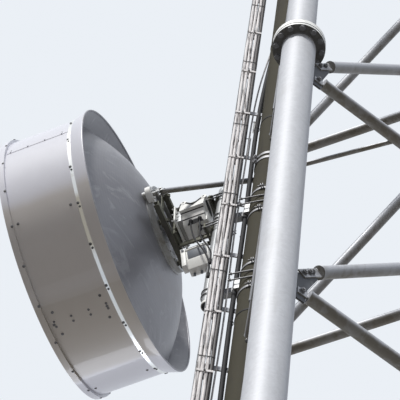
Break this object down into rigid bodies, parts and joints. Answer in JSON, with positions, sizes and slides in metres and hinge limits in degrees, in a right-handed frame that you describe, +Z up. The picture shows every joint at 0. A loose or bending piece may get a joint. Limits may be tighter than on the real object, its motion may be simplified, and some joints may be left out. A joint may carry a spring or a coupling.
{
  "type": "cell tower",
  "caption": "Three-legged lattice cell tower of galvanised tubes on round base plates, with a shrouded microwave dish, its pipe mount, a radio unit and a ladder of feeder cables.",
  "frame": {"origin": "middle of leg A's foot, on the underside of its base plate", "axes": "+Z up, +X along the face from leg A's foot to leg B's foot, +Y towards leg C's side"},
  "size_m": [4.4216, 5.2864, 23.0724],
  "materials": {
    "galvanised_leg": "weathered zinc, satin",
    "galvanised_brace": "weathered zinc, dull",
    "galvanised_plate": "weathered zinc, matt",
    "mount_zinc": "zinc, satin",
    "cable_jacket": "matt grey jacket",
    "spun_aluminium": "scuffed, satin",
    "dish_paint": "gloss light grey",
    "radome_sheet": "coated sheet, matt",
    "bright_strip": "polished",
    "radio_paint": "satin off-white",
    "jumper_rubber": "matt black"
  },
  "bodies": {
    "root": {"base_plate_a": "galvanised_plate", "base_plate_b": "galvanised_plate", "base_plate_c": "galvanised_plate", "base_ribs": "galvanised_plate", "leg_a_lower": "galvanised_leg", "leg_b_lower": "galvanised_leg", "leg_c_lower": "galvanised_leg", "leg_a_middle": "galvanised_leg", "leg_b_middle": "galvanised_leg", "leg_c_middle": "galvanised_leg", "leg_a_upper": "galvanised_leg", "leg_b_upper": "galvanised_leg", "leg_c_upper": "galvanised_leg", "splice_rings_under": "galvanised_plate", "splice_rings_over": "galvanised_plate", "leg_top_plates": "galvanised_plate", "gussets_face_ab": "galvanised_plate", "gussets_face_bc": "galvanised_plate", "gussets_face_ca": "galvanised_plate", "horizontals_face_ab": "galvanised_brace", "horizontals_face_bc": "galvanised_brace", "horizontals_face_ca": "galvanised_brace", "diagonals_face_ab": "galvanised_brace", "diagonals_face_bc": "galvanised_brace", "diagonals_face_ca": "galvanised_brace", "plan_brace": "galvanised_brace", "cable_ladder": "galvanised_brace", "ladder_arms": "galvanised_brace", "feeder_cables": "cable_jacket", "cable_hangers": "mount_zinc", "jumper_joints": "mount_zinc", "dish_reflector": "spun_aluminium", "dish_shroud": "dish_paint", "dish_front_band": "dish_paint", "dish_radome": "radome_sheet", "dish_rear_strip": "bright_strip", "hub_ring": "mount_zinc", "mount_frame": "mount_zinc", "dish_pipe": "mount_zinc", "pipe_standoffs": "mount_zinc", "pipe_clamps": "mount_zinc", "side_strut": "mount_zinc", "radio_unit": "radio_paint", "radio_box": "radio_paint", "jumper_long": "jumper_rubber", "jumper_short": "jumper_rubber"}
  },
  "joints": []
}
